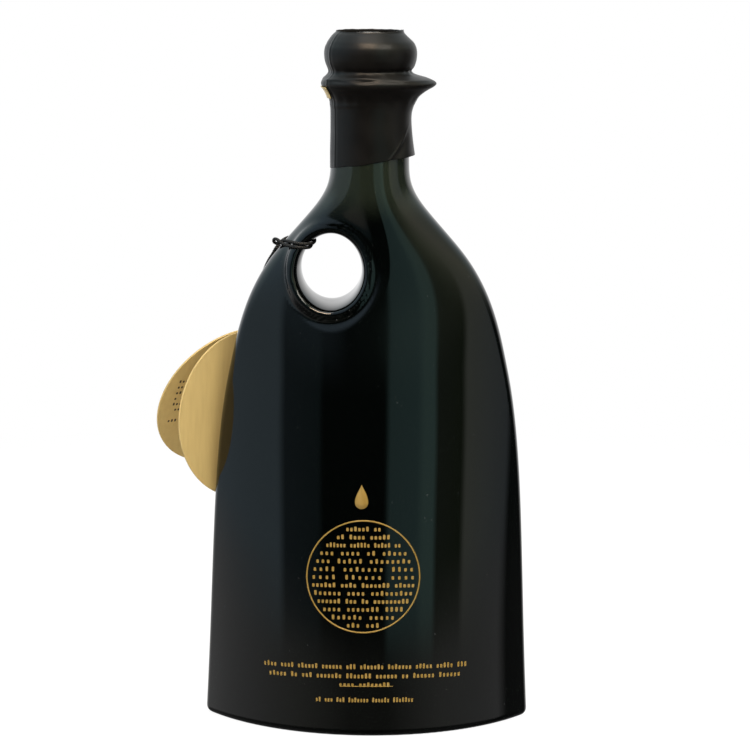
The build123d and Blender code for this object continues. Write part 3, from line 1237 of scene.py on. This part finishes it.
@dataclass
class SealStrip:
    """The gold strip stuck on the film under the back of the lip."""

    film: Film
    finish: Finish
    low: float = 235.2
    high: float = 239.4
    start: float = 100.0  # degrees round from the spout
    stop: float = 207.0
    stand: float = 0.6  # how far its outer face is from the film's profile
    thickness: float = 0.16

    def build(self) -> bpy.types.Object:
        """Make the strip, following the film's profile.

        Returns:
            The strip as one closed thin piece.
        """
        knots = sorted((height, radius) for radius, height, _ in self.film.profile if height < 241)
        radius_at = Profile(knots)
        heights = np.linspace(self.low, self.high, 10)
        turn = np.radians(np.linspace(self.start, self.stop, 60))
        points = np.concatenate(
            [
                round_z(turn, radius_at(height) + stand, height)
                for stand in (self.stand, self.stand - self.thickness)
                for height in heights
            ]
        )
        made = mesh_object("seal_foil", points, slab_faces(len(heights), len(turn)))
        return self.finish.coat(outward(made))


def round_z(
    turn: np.ndarray, out: np.ndarray | float, height: np.ndarray | float
) -> np.ndarray:
    """Points round Z at the given angles, one row each."""
    height = np.broadcast_to(height, turn.shape)
    return np.column_stack([out * np.cos(turn), out * np.sin(turn), height])


def slab_faces(rows: int, columns: int) -> list[tuple[int, ...]]:
    """Quads of a closed slab made of two open grids of points, one after the other."""
    size = rows * columns

    def quad(row: int, column: int) -> tuple[int, ...]:
        """The four corners of one cell."""
        a = row * columns + column
        return (a, a + 1, a + columns + 1, a + columns)

    faces = []
    for row in range(rows - 1):
        for column in range(columns - 1):
            corners = quad(row, column)
            faces += [corners, tuple(size + c for c in reversed(corners))]
    edge = list(range(columns))
    edge += [row * columns + columns - 1 for row in range(1, rows)]
    edge += [(rows - 1) * columns + c for c in range(columns - 2, -1, -1)]
    edge += [row * columns for row in range(rows - 2, 0, -1)]
    for a, b in zip(edge, edge[1:] + edge[:1]):
        faces.append((b, a, size + a, size + b))
    return faces


# ---------------------------------------------------------------- tags and cord


@dataclass
class Tag:
    """A round tag of foiled card, hung by a hole near its edge."""

    name: str
    finish: Finish
    hole: Triple
    turn: float
    lean: float
    radius: float = 32.0
    thickness: float = 0.8
    hole_radius: float = 2.25
    hole_at: float = 27.5
    spacing: float = 2.5  # of the points that fill its face
    edge_bevel: float = 0.14

    def build(self) -> bpy.types.Object:
        """Make the tag.

        Returns:
            The tag in its place.
        """
        points, faces = self._face()
        flat = np.array([[x, 0.0, z] for x, z in points])
        card = mesh_object(f"{self.name}_sheet", flat, faces, smooth=False)
        wall = card.modifiers.new("wall", "SOLIDIFY")
        wall.thickness = self.thickness * MM
        wall.offset = 0.0
        edge = card.modifiers.new("edge", "BEVEL")
        edge.width = self.edge_bevel * MM
        edge.segments = 2
        edge.limit_method = "ANGLE"
        made = baked(card, self.name)
        made.data.transform(self.placing())
        return self.finish.coat(outward(made))

    def _face(self) -> tuple[list[tuple[float, float]], list[list[int]]]:
        """Points and triangles of the disc round its hole, with the hole at the origin."""
        loops = []
        rims = ((-self.hole_at, self.radius, 160), (0.0, self.hole_radius, 36))
        for centre, radius, count in rims:
            angle = np.linspace(0, 2 * math.pi, count, endpoint=False)
            loops.append([(radius * math.cos(a), centre + radius * math.sin(a)) for a in angle])
        points = [Vector(p) for loop in loops for p in loop]
        edges, start = [], 0
        for loop in loops:
            edges += [(start + i, start + (i + 1) % len(loop)) for i in range(len(loop))]
            start += len(loop)
        reach = np.arange(-self.radius, self.radius + 1, self.spacing)
        for x in reach:
            for z in reach:
                inside = math.hypot(x, z) < self.radius - 1.0
                if inside and math.hypot(x, z - self.hole_at) > self.hole_radius + 1.0:
                    points.append(Vector((x + 0.01, z - self.hole_at + 0.013)))
        found = delaunay_2d_cdt(points, edges, [], 0, 1e-5)
        places = [tuple(p) for p in found[0]]
        faces = []
        for face in found[2]:
            x, z = (sum(places[i][k] for i in face) / len(face) for k in (0, 1))
            on_disc = math.hypot(x, z + self.hole_at) < self.radius
            if on_disc and math.hypot(x, z) > self.hole_radius:
                faces.append(list(face))
        return places, faces

    def placing(self) -> Matrix:
        """Where the tag hangs: its hole, turned about the plumb line and leaning out."""
        turn = Matrix.Rotation(math.radians(self.turn), 4, "Z")
        lean = Matrix.Rotation(math.radians(self.lean), 4, "X")
        return Matrix.Translation(Vector(self.hole) * MM) @ turn @ lean


@dataclass
class TagPrint:
    """Rows of small dark marks on a tag's outer face."""

    tag: Tag
    ink: Finish
    rows: int = 8
    pitch: float = 2.7
    half: float = 26.4
    places: int = 37
    tall: float = 1.3
    relief: float = 0.03
    seed: int = 3

    def build(self) -> bpy.types.Object:
        """Make the marks.

        Returns:
            The marks as one mesh, in place on the tag.
        """
        dice = np.random.default_rng(self.seed)
        step = 2 * self.half / self.places
        spots = []
        for row in range(self.rows):
            height = ((self.rows - 1) / 2 - row) * self.pitch - self.tag.hole_at
            kept = dice.random(self.places) > 0.2
            spots += [(self.half - step * (i + 0.5), height) for i in range(self.places) if kept[i]]
        face = -self.tag.thickness / 2
        local = np.array([(x, face, z - self.tall / 2) for x, z in spots])
        turn = np.array(self.tag.placing().to_3x3())
        points = local @ turn.T + np.array(self.tag.hole)
        out = np.tile(turn @ [0, -1, 0], (len(points), 1))
        ahead = np.tile(turn @ [1, 0, 0], (len(points), 1))
        tall = self.tall * np.where(dice.random(len(points)) < 0.3, 1.0, 0.75)
        seat = mark_seats(points, out, ahead, [0.55 * step] * len(points), tall)
        return MarkNodes(self.relief).apply(seat, self.ink.material(), "tag_marks")


@dataclass
class Cord:
    """The thin cord: twice round the strap beside the hole, then down through both tags."""

    finish: Finish
    diameter: float = 1.3
    order: int = 3
    route: Sequence[Triple] = (
        (-47.6, 20.6, 142.5),
        (-47.25, 17.7, 142.2),
        (-47.1, 15.0, 141.8),
        (-46.9, 12.4, 142.1),
        (-45.7, 10.2, 144.3),
        (-44.2, 9.0, 149.2),
        (-41.7, 8.4, 158.5),
        (-39.2, 7.4, 168.0),
        (-37.2, 4.8, 174.2),
        (-35.4, 3.1, 178.4),
        (-32.9, 5.4, 181.5),
        (-29.7, 9.2, 182.5),
        (-26.3, 12.9, 182.2),
        (-23.2, 12.9, 182.0),
        (-21.1, 9.4, 181.9),
        (-20.6, 5.0, 181.9),
        (-20.4, 0.0, 181.8),
        (-20.6, -5.0, 181.9),
        (-21.1, -9.4, 181.9),
        (-23.1, -12.9, 182.1),
        (-26.2, -13.0, 182.3),
        (-29.6, -9.0, 182.6),
        (-31.8, -5.6, 182.6),
        (-33.4, -2.4, 181.7),
        (-34.6, 0.6, 180.6),
        (-35.8, 0.4, 181.2),
        (-35.6, -1.6, 182.7),
        (-34.2, -3.9, 182.8),
        (-32.4, -6.6, 181.6),
        (-30.2, -10.0, 181.1),
        (-26.7, -13.7, 181.0),
        (-23.7, -13.0, 180.7),
        (-22.0, -9.4, 180.5),
        (-21.7, -5.0, 180.5),
        (-21.6, 0.0, 180.4),
        (-21.7, 5.0, 180.5),
        (-22.0, 9.4, 180.4),
        (-23.8, 13.0, 180.5),
        (-27.0, 14.0, 180.6),
        (-30.5, 10.3, 180.3),
        (-34.1, 7.0, 178.6),
        (-36.8, 6.2, 175.8),
        (-39.4, 8.3, 170.8),
        (-41.6, 9.6, 163.8),
        (-43.9, 10.2, 155.5),
        (-45.9, 10.5, 147.8),
        (-47.0, 11.3, 143.3),
        (-47.4, 12.9, 140.5),
        (-47.3, 15.4, 140.2),
        (-47.5, 17.9, 140.8),
        (-48.85, 20.7, 141.1),
    )
    strands: int = 3
    twist_pitch: float = 2.6
    groove: float = 0.112  # how deep the grooves between the strands are
    line_step: float = 0.3

    def line(self) -> np.ndarray:
        """Points along the route's smooth line, evenly spaced.

        Returns:
            The points in millimetres, one row each.
        """
        curve = bpy.data.curves.new("cord_route", "CURVE")
        curve.dimensions = "3D"
        curve.resolution_u = 12
        spline = curve.splines.new("NURBS")
        spline.points.add(len(self.route) - 1)
        for point, place in zip(spline.points, self.route):
            point.co = (*(c * MM for c in place), 1.0)
        spline.order_u = self.order
        spline.use_endpoint_u = True
        holder = linked("cord_route", curve)
        graph = bpy.context.evaluated_depsgraph_get()
        mesh = bpy.data.meshes.new_from_object(holder.evaluated_get(graph), depsgraph=graph)
        points = np.array([tuple(v.co) for v in mesh.vertices]) / MM
        bpy.data.objects.remove(holder)
        bpy.data.meshes.remove(mesh)
        return evenly(points, self.line_step)

    def build(self) -> tuple[bpy.types.Object, np.ndarray]:
        """Make the cord as a tube whose surface shows its twisted strands.

        Returns:
            The cord and the line that it follows, in millimetres.
        """
        line = self.line()
        made = tube("cord_loop", line, self._strand_radius, 20, twist=self.twist_pitch)
        return self.finish.coat(made), line

    def _strand_radius(self, angle: np.ndarray, run: float) -> np.ndarray:
        """The cord's radius round one cross-section, less between the strands."""
        wave = np.abs(np.cos(self.strands * angle / 2))
        return self.diameter / 2 - self.groove * (1 - wave)


def evenly(points: np.ndarray, step: float) -> np.ndarray:
    """Points at even steps along a line of points."""
    run = np.concatenate([[0], np.cumsum(np.linalg.norm(np.diff(points, axis=0), axis=1))])
    places = np.linspace(0, run[-1], max(int(run[-1] / step), 2))
    return np.stack([np.interp(places, run, points[:, k]) for k in range(3)], axis=1)


def tube(
    name: str,
    line: np.ndarray,
    radius: Callable[[np.ndarray, float], np.ndarray],
    sides: int,
    twist: float = 0.0,
) -> bpy.types.Object:
    """A closed tube along a line.

    Args:
        name: the piece's name.
        line: points in millimetres.
        radius: a function of the angles round the tube and the run along it.
        sides: points round the tube.
        twist: length of a full turn, or 0.

    Returns:
        The tube.
    """
    heading = np.gradient(line, axis=0)
    heading /= np.linalg.norm(heading, axis=1)[:, None]
    across = np.cross(heading[0], [0.3, 0.2, 0.9])
    run, rings = 0.0, []
    angle = np.linspace(0, 2 * math.pi, sides, endpoint=False)
    for index, (place, ahead) in enumerate(zip(line, heading)):
        across = across - ahead * np.dot(across, ahead)
        across /= np.linalg.norm(across)
        beside = np.cross(ahead, across)
        if index:
            run += float(np.linalg.norm(place - line[index - 1]))
        spin = 2 * math.pi * run / twist if twist else 0.0
        reach = radius(angle, run)[:, None]
        turned = angle + spin
        spoke = np.cos(turned)[:, None] * across + np.sin(turned)[:, None] * beside
        rings.append(place + reach * spoke)
    points = np.concatenate([*rings, line[:1], line[-1:]])
    faces = grid_faces(len(rings), sides)
    first = len(rings) * sides
    end = first - sides
    for side in range(sides):
        after = (side + 1) % sides
        faces += [(first, after, side), (first + 1, end + side, end + after)]
    return outward(mesh_object(name, points, faces))


@dataclass
class Knot:
    """A small overhand knot that both of the cord's ends go into."""

    finish: Finish
    centre: Triple = (-48.2, 22.1, 142.1)
    size: float = 1.45
    thread: float = 0.52

    def build(self) -> bpy.types.Object:
        """Make the knot.

        Returns:
            The knot as one piece.
        """
        turn = np.linspace(0, 2 * math.pi, 160, endpoint=False)
        loop = np.stack(
            [
                (np.sin(turn) + 2 * np.sin(2 * turn)) * 0.36,
                np.sin(3 * turn) * 0.62,
                (np.cos(turn) - 2 * np.cos(2 * turn)) * 0.36,
            ],
            axis=1,
        )
        line = np.array(self.centre) + self.size * loop
        closed = np.concatenate([line, line[:3]])
        made = tube("knot_ball", closed, lambda a, r: np.full(len(a), self.thread), 14)
        return self.finish.coat(made)


# ---------------------------------------------------------------- studio


@dataclass
class Panel:
    """A soft panel light."""

    name: str
    azimuth: float  # degrees round from -Y towards +X, where the panel stands
    elevation: float
    distance: float
    width: float
    height: float
    watts: float
    colour: Colour = (1.0, 1.0, 1.0)
    in_gloss: bool = True

    def build(self, aim: Vector) -> bpy.types.Object:
        """Make the light, facing a point."""
        lamp = bpy.data.lights.new(self.name, "AREA")
        lamp.shape = "RECTANGLE"
        lamp.size, lamp.size_y = self.width, self.height
        lamp.energy = self.watts
        lamp.color = self.colour
        made = linked(self.name, lamp)
        azimuth, elevation = math.radians(self.azimuth), math.radians(self.elevation)
        away = Vector(
            (
                math.sin(azimuth) * math.cos(elevation),
                -math.cos(azimuth) * math.cos(elevation),
                math.sin(elevation),
            )
        )
        made.location = aim + away * self.distance
        made.rotation_euler = (-away).to_track_quat("-Z", "Y").to_euler()
        made.visible_glossy = self.in_gloss
        made.visible_camera = False
        return made


@dataclass
class Studio:
    """Floor, surroundings, lights and camera."""

    eye: Triple = (15.0, -1029.4, 300.0)
    lens: float = 133.13
    pan: float = 0.70
    tilt: float = -9.306
    roll: float = 0.39
    aim: Triple = (0.0, 0.0, 0.12)
    panels: Sequence[Panel] = (
        Panel("key_light", 42.0, 46.0, 1.5, 0.65, 0.45, 6.5, (1.0, 0.93, 0.84)),
        Panel("cap_light", -6.0, 56.0, 1.3, 0.5, 0.3, 11.0, (1.0, 0.77, 0.55)),
        Panel("top_light", 0.0, 82.0, 1.2, 0.7, 0.5, 2.5, (1.0, 0.95, 0.9)),
        Panel("front_fill", -12.0, 28.0, 1.8, 1.6, 1.2, 9.0, (1.0, 1.0, 1.0), False),
        Panel("back_fill", 170.0, 30.0, 1.8, 1.6, 1.2, 9.0, (1.0, 1.0, 1.0), False),
    )
    # what stands round the object: degrees from -Y towards +X, and its colour
    around: Sequence[tuple[float, Colour]] = (
        (-180.0, (1.0, 1.0, 1.0)),
        (-130.0, (0.9, 0.95, 1.0)),
        (-113.0, (0.42, 0.5, 0.55)),
        (-100.0, (0.38, 0.48, 0.55)),
        (-54.0, (0.38, 0.5, 0.57)),
        (-49.5, (0.09, 0.12, 0.14)),
        (-29.0, (0.06, 0.09, 0.1)),
        (-26.0, (0.008, 0.01, 0.01)),
        (9.5, (0.008, 0.01, 0.01)),
        (12.5, (0.2, 0.34, 0.33)),
        (28.0, (0.22, 0.38, 0.37)),
        (32.5, (0.33, 0.55, 0.5)),
        (38.0, (0.33, 0.55, 0.5)),
        (40.5, (0.1, 0.12, 0.09)),
        (55.5, (0.08, 0.1, 0.06)),
        (58.5, (0.5, 0.53, 0.45)),
        (72.0, (0.42, 0.46, 0.44)),
        (87.0, (0.3, 0.34, 0.36)),
        (91.0, (0.03, 0.035, 0.035)),
        (116.0, (0.03, 0.035, 0.035)),
        (132.0, (0.8, 0.8, 0.8)),
        (146.0, (1.0, 1.0, 1.0)),
        (180.0, (1.0, 1.0, 1.0)),
    )
    # the room above, as it shows in the shoulders
    above: Sequence[tuple[float, Colour]] = (
        (-180.0, (1.0, 1.0, 1.0)),
        (-100.0, (0.7, 0.92, 1.0)),
        (-62.0, (0.5, 0.7, 0.85)),
        (-24.0, (0.34, 0.45, 0.55)),
        (-12.0, (0.06, 0.08, 0.09)),
        (4.0, (0.1, 0.14, 0.13)),
        (16.0, (0.36, 0.55, 0.5)),
        (30.0, (0.5, 0.75, 0.66)),
        (44.0, (0.44, 0.5, 0.32)),
        (68.0, (0.75, 0.75, 0.58)),
        (90.0, (0.62, 0.66, 0.55)),
        (132.0, (0.6, 0.7, 0.72)),
        (180.0, (1.0, 1.0, 1.0)),
    )
    # the table as it shows low in the glass
    table: Sequence[tuple[float, Colour]] = (
        (-180.0, (0.9, 0.9, 0.9)),
        (-130.0, (0.6, 0.6, 0.6)),
        (-75.0, (0.42, 0.42, 0.42)),
        (-40.0, (0.27, 0.27, 0.25)),
        (-10.0, (0.1, 0.1, 0.09)),
        (12.0, (0.09, 0.09, 0.08)),
        (45.0, (0.33, 0.33, 0.31)),
        (84.0, (0.4, 0.4, 0.4)),
        (91.0, (0.05, 0.05, 0.05)),
        (116.0, (0.05, 0.05, 0.05)),
        (134.0, (0.65, 0.65, 0.65)),
        (180.0, (0.9, 0.9, 0.9)),
    )

    def build(self) -> None:
        """Make everything round the object."""
        self._camera()
        self._floor()
        self._surroundings()
        for panel in self.panels:
            panel.build(Vector(self.aim))

    def _camera(self) -> None:
        """Place the camera by its pan, tilt and roll."""
        pan, tilt, roll = (math.radians(a) for a in (self.pan, self.tilt, self.roll))
        ahead = Vector(
            (
                -math.sin(pan) * math.cos(tilt),
                math.cos(pan) * math.cos(tilt),
                math.sin(tilt),
            )
        )
        right = ahead.cross(Vector((0, 0, 1))).normalized()
        up = right.cross(ahead)
        rolled_right = right * math.cos(roll) + up * math.sin(roll)
        rolled_up = up * math.cos(roll) - right * math.sin(roll)
        data = bpy.data.cameras.new("camera")
        data.lens = self.lens
        data.sensor_width = 36.0
        data.clip_start, data.clip_end = 0.05, 50.0
        made = linked("camera", data)
        turn = Matrix((rolled_right, rolled_up, -ahead)).transposed()
        made.matrix_world = Matrix.Translation(Vector(self.eye) * MM) @ turn.to_4x4()
        bpy.context.scene.camera = made

    def _floor(self) -> None:
        """A white floor that keeps a faint shadow; reflections look past it."""
        half, height = 12000.0, -0.02
        corners = [(x * half, y * half, height) for x, y in ((-1, -1), (1, -1), (1, 1), (-1, 1))]
        floor = mesh_object("floor", np.array(corners), [(0, 1, 2, 3)], False)
        material = bpy.data.materials.new("white table")
        material.use_nodes = True
        graph = Graph(material.node_tree)
        path = graph.node("ShaderNodeLightPath")
        place = graph.node("ShaderNodeTexCoord").outputs["Object"]
        length = graph.node("ShaderNodeVectorMath", {"operation": "LENGTH"}, {0: place})
        away = graph.value(length, 1)
        matt = graph.node("ShaderNodeBsdfDiffuse", {}, {"Color": (0.9, 0.9, 0.9, 1.0)}).outputs[0]
        white, bright = (
            graph.node("ShaderNodeEmission", {}, {"Color": (1, 1, 1, 1), "Strength": s}).outputs[0]
            for s in (1.0, 1.1)
        )
        clear = graph.node("ShaderNodeBsdfTransparent").outputs[0]

        def blend(share: Value | float, first: Any, second: Any) -> bpy.types.NodeSocket:
            """Mix two shaders."""
            return graph.node("ShaderNodeMixShader", {}, {0: share, 1: first, 2: second}).outputs[0]

        near = blend(0.85, matt, bright)
        seen = blend(away.ramp(0.25, 0.6), near, white)
        unseen = blend(graph.value(path, "Is Glossy Ray"), matt, clear)
        shown = blend(graph.value(path, "Is Camera Ray"), unseen, seen)
        graph.node("ShaderNodeOutputMaterial", {}, {"Surface": shown})
        floor.data.materials.append(material)

    def _surroundings(self) -> None:
        """White where the camera looks, an even grey as light, and the room in reflections."""
        world = bpy.data.worlds.new("studio")
        bpy.context.scene.world = world
        world.use_nodes = True
        graph = Graph(world.node_tree)
        path = graph.node("ShaderNodeLightPath")
        place = graph.node("ShaderNodeTexCoord").outputs["Generated"]
        parts = graph.node("ShaderNodeSeparateXYZ", {}, {0: place})
        x, y, z = (graph.value(parts, axis) for axis in "XYZ")
        turn = graph.value(
            graph.node("ShaderNodeMath", {"operation": "ARCTAN2"}, {0: x, 1: y * -1.0})
        )
        share = turn / (2 * math.pi) + 0.5
        room, sky, table = (
            graph.node(
                "ShaderNodeValToRGB",
                {"stops": [(angle / 360.0 + 0.5, colour) for angle, colour in stops]},
                {0: share},
            ).outputs[0]
            for stops in (self.around, self.above, self.table)
        )
        room = graph.mix(z.ramp(0.1, 0.42), room, sky)
        low = (z * -1.0).ramp(0.13, 0.21)
        deep = (z * -1.0).ramp(0.3, 0.5)
        room = graph.mix(low, room, table)
        room = graph.mix(deep * 0.85, room, (0.02, 0.02, 0.02))
        gloss = graph.value(path, "Is Glossy Ray")
        colour = graph.mix(gloss, (0.45, 0.455, 0.465), room)
        clear = graph.value(path, "Is Camera Ray") + graph.value(path, "Is Transmission Ray")
        colour = graph.mix(clear.clamped(), colour, (1.0, 1.0, 1.0))
        light = graph.node("ShaderNodeBackground", {}, {"Color": colour, "Strength": 1.0})
        graph.node("ShaderNodeOutputWorld", {}, {"Surface": light.outputs[0]})


# ---------------------------------------------------------------- assembly


def place(piece: bpy.types.Object, slot: Slot, *nodes: str) -> bpy.types.Object:
    """Hand a finished piece to the frame.

    Args:
        piece: the piece.
        slot: the material slot named for the piece; not used.
        nodes: the CAD nodes it stands for.

    Returns:
        The same piece.
    """
    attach(piece, "root")
    if nodes:
        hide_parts(*nodes)
    faces = len(piece.data.polygons)
    LOG.info("%s: %d faces, stands for %s", piece.name, faces, nodes or "nothing")
    return piece


def main() -> None:
    """Build every piece round the frame and finish."""
    logging.basicConfig(level=logging.INFO, format="%(name)s: %(message)s")
    bpy.ops.wm.read_factory_settings(use_empty=True)
    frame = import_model()
    bpy.context.scene.view_settings.view_transform = "Standard"
    Studio().build()

    thread = ThreadFinish("black cord", (0.0027, 0.0027, 0.0027), 0.6)
    cord, line = Cord(thread).build()
    place(cord, Slot.CORD, "tag_cord")
    knot = place(Knot(thread).build(), Slot.CORD, "cord_knot")

    shape = GlassShape()
    glass = GlassFinish("dark green glass", (0.0004, 0.0007, 0.0006), 0.018)
    place(Bottle(shape, glass).build(frame["nodes"]["bottle"]), Slot.GLASS, "bottle")

    ink = GoldFinish("gold ink", (0.31, 0.195, 0.034), 0.45, metallic=0.3, grain_mm=0.004)
    for piece in Print(shape, ink).build():
        place(piece, Slot.PRINT)

    film = Film(FilmFinish("brown-black film", (0.0026, 0.0021, 0.0017), 0.34))
    place(film.build(), Slot.FILM, "shrink_film")
    foil = GoldFinish("gold foil strip", (0.75, 0.58, 0.26), 0.3, metallic=0.8)
    place(SealStrip(film, foil).build(), Slot.FOIL, "seal_strip")
    moulded = MouldedFinish("grey moulded stopper", (0.42, 0.43, 0.43), 0.35)
    moulded.coat(frame["nodes"]["stopper"])

    card = GoldFinish("gold foiled card", (0.62, 0.475, 0.195), 0.42, metallic=0.2, grain_mm=0.006)
    inner = Tag("tag_inner", card, (-47.2, 13.3, 141.2), 42.8, 0.5)
    outer = Tag("tag_outer", card, (-45.8, 18.1, 142.4), 35.2, 29.0)
    brown = Finish("brown ink", (0.05, 0.03, 0.015), 0.6)
    place(TagPrint(outer, brown).build(), Slot.CARD)
    tags = [
        place(inner.build(), Slot.CARD, "inner_tag"),
        place(outer.build(), Slot.CARD, "outer_tag"),
    ]
    tuple(line[0] * MM)
    (line * MM).tolist()


if __name__ == "__main__":
    main()
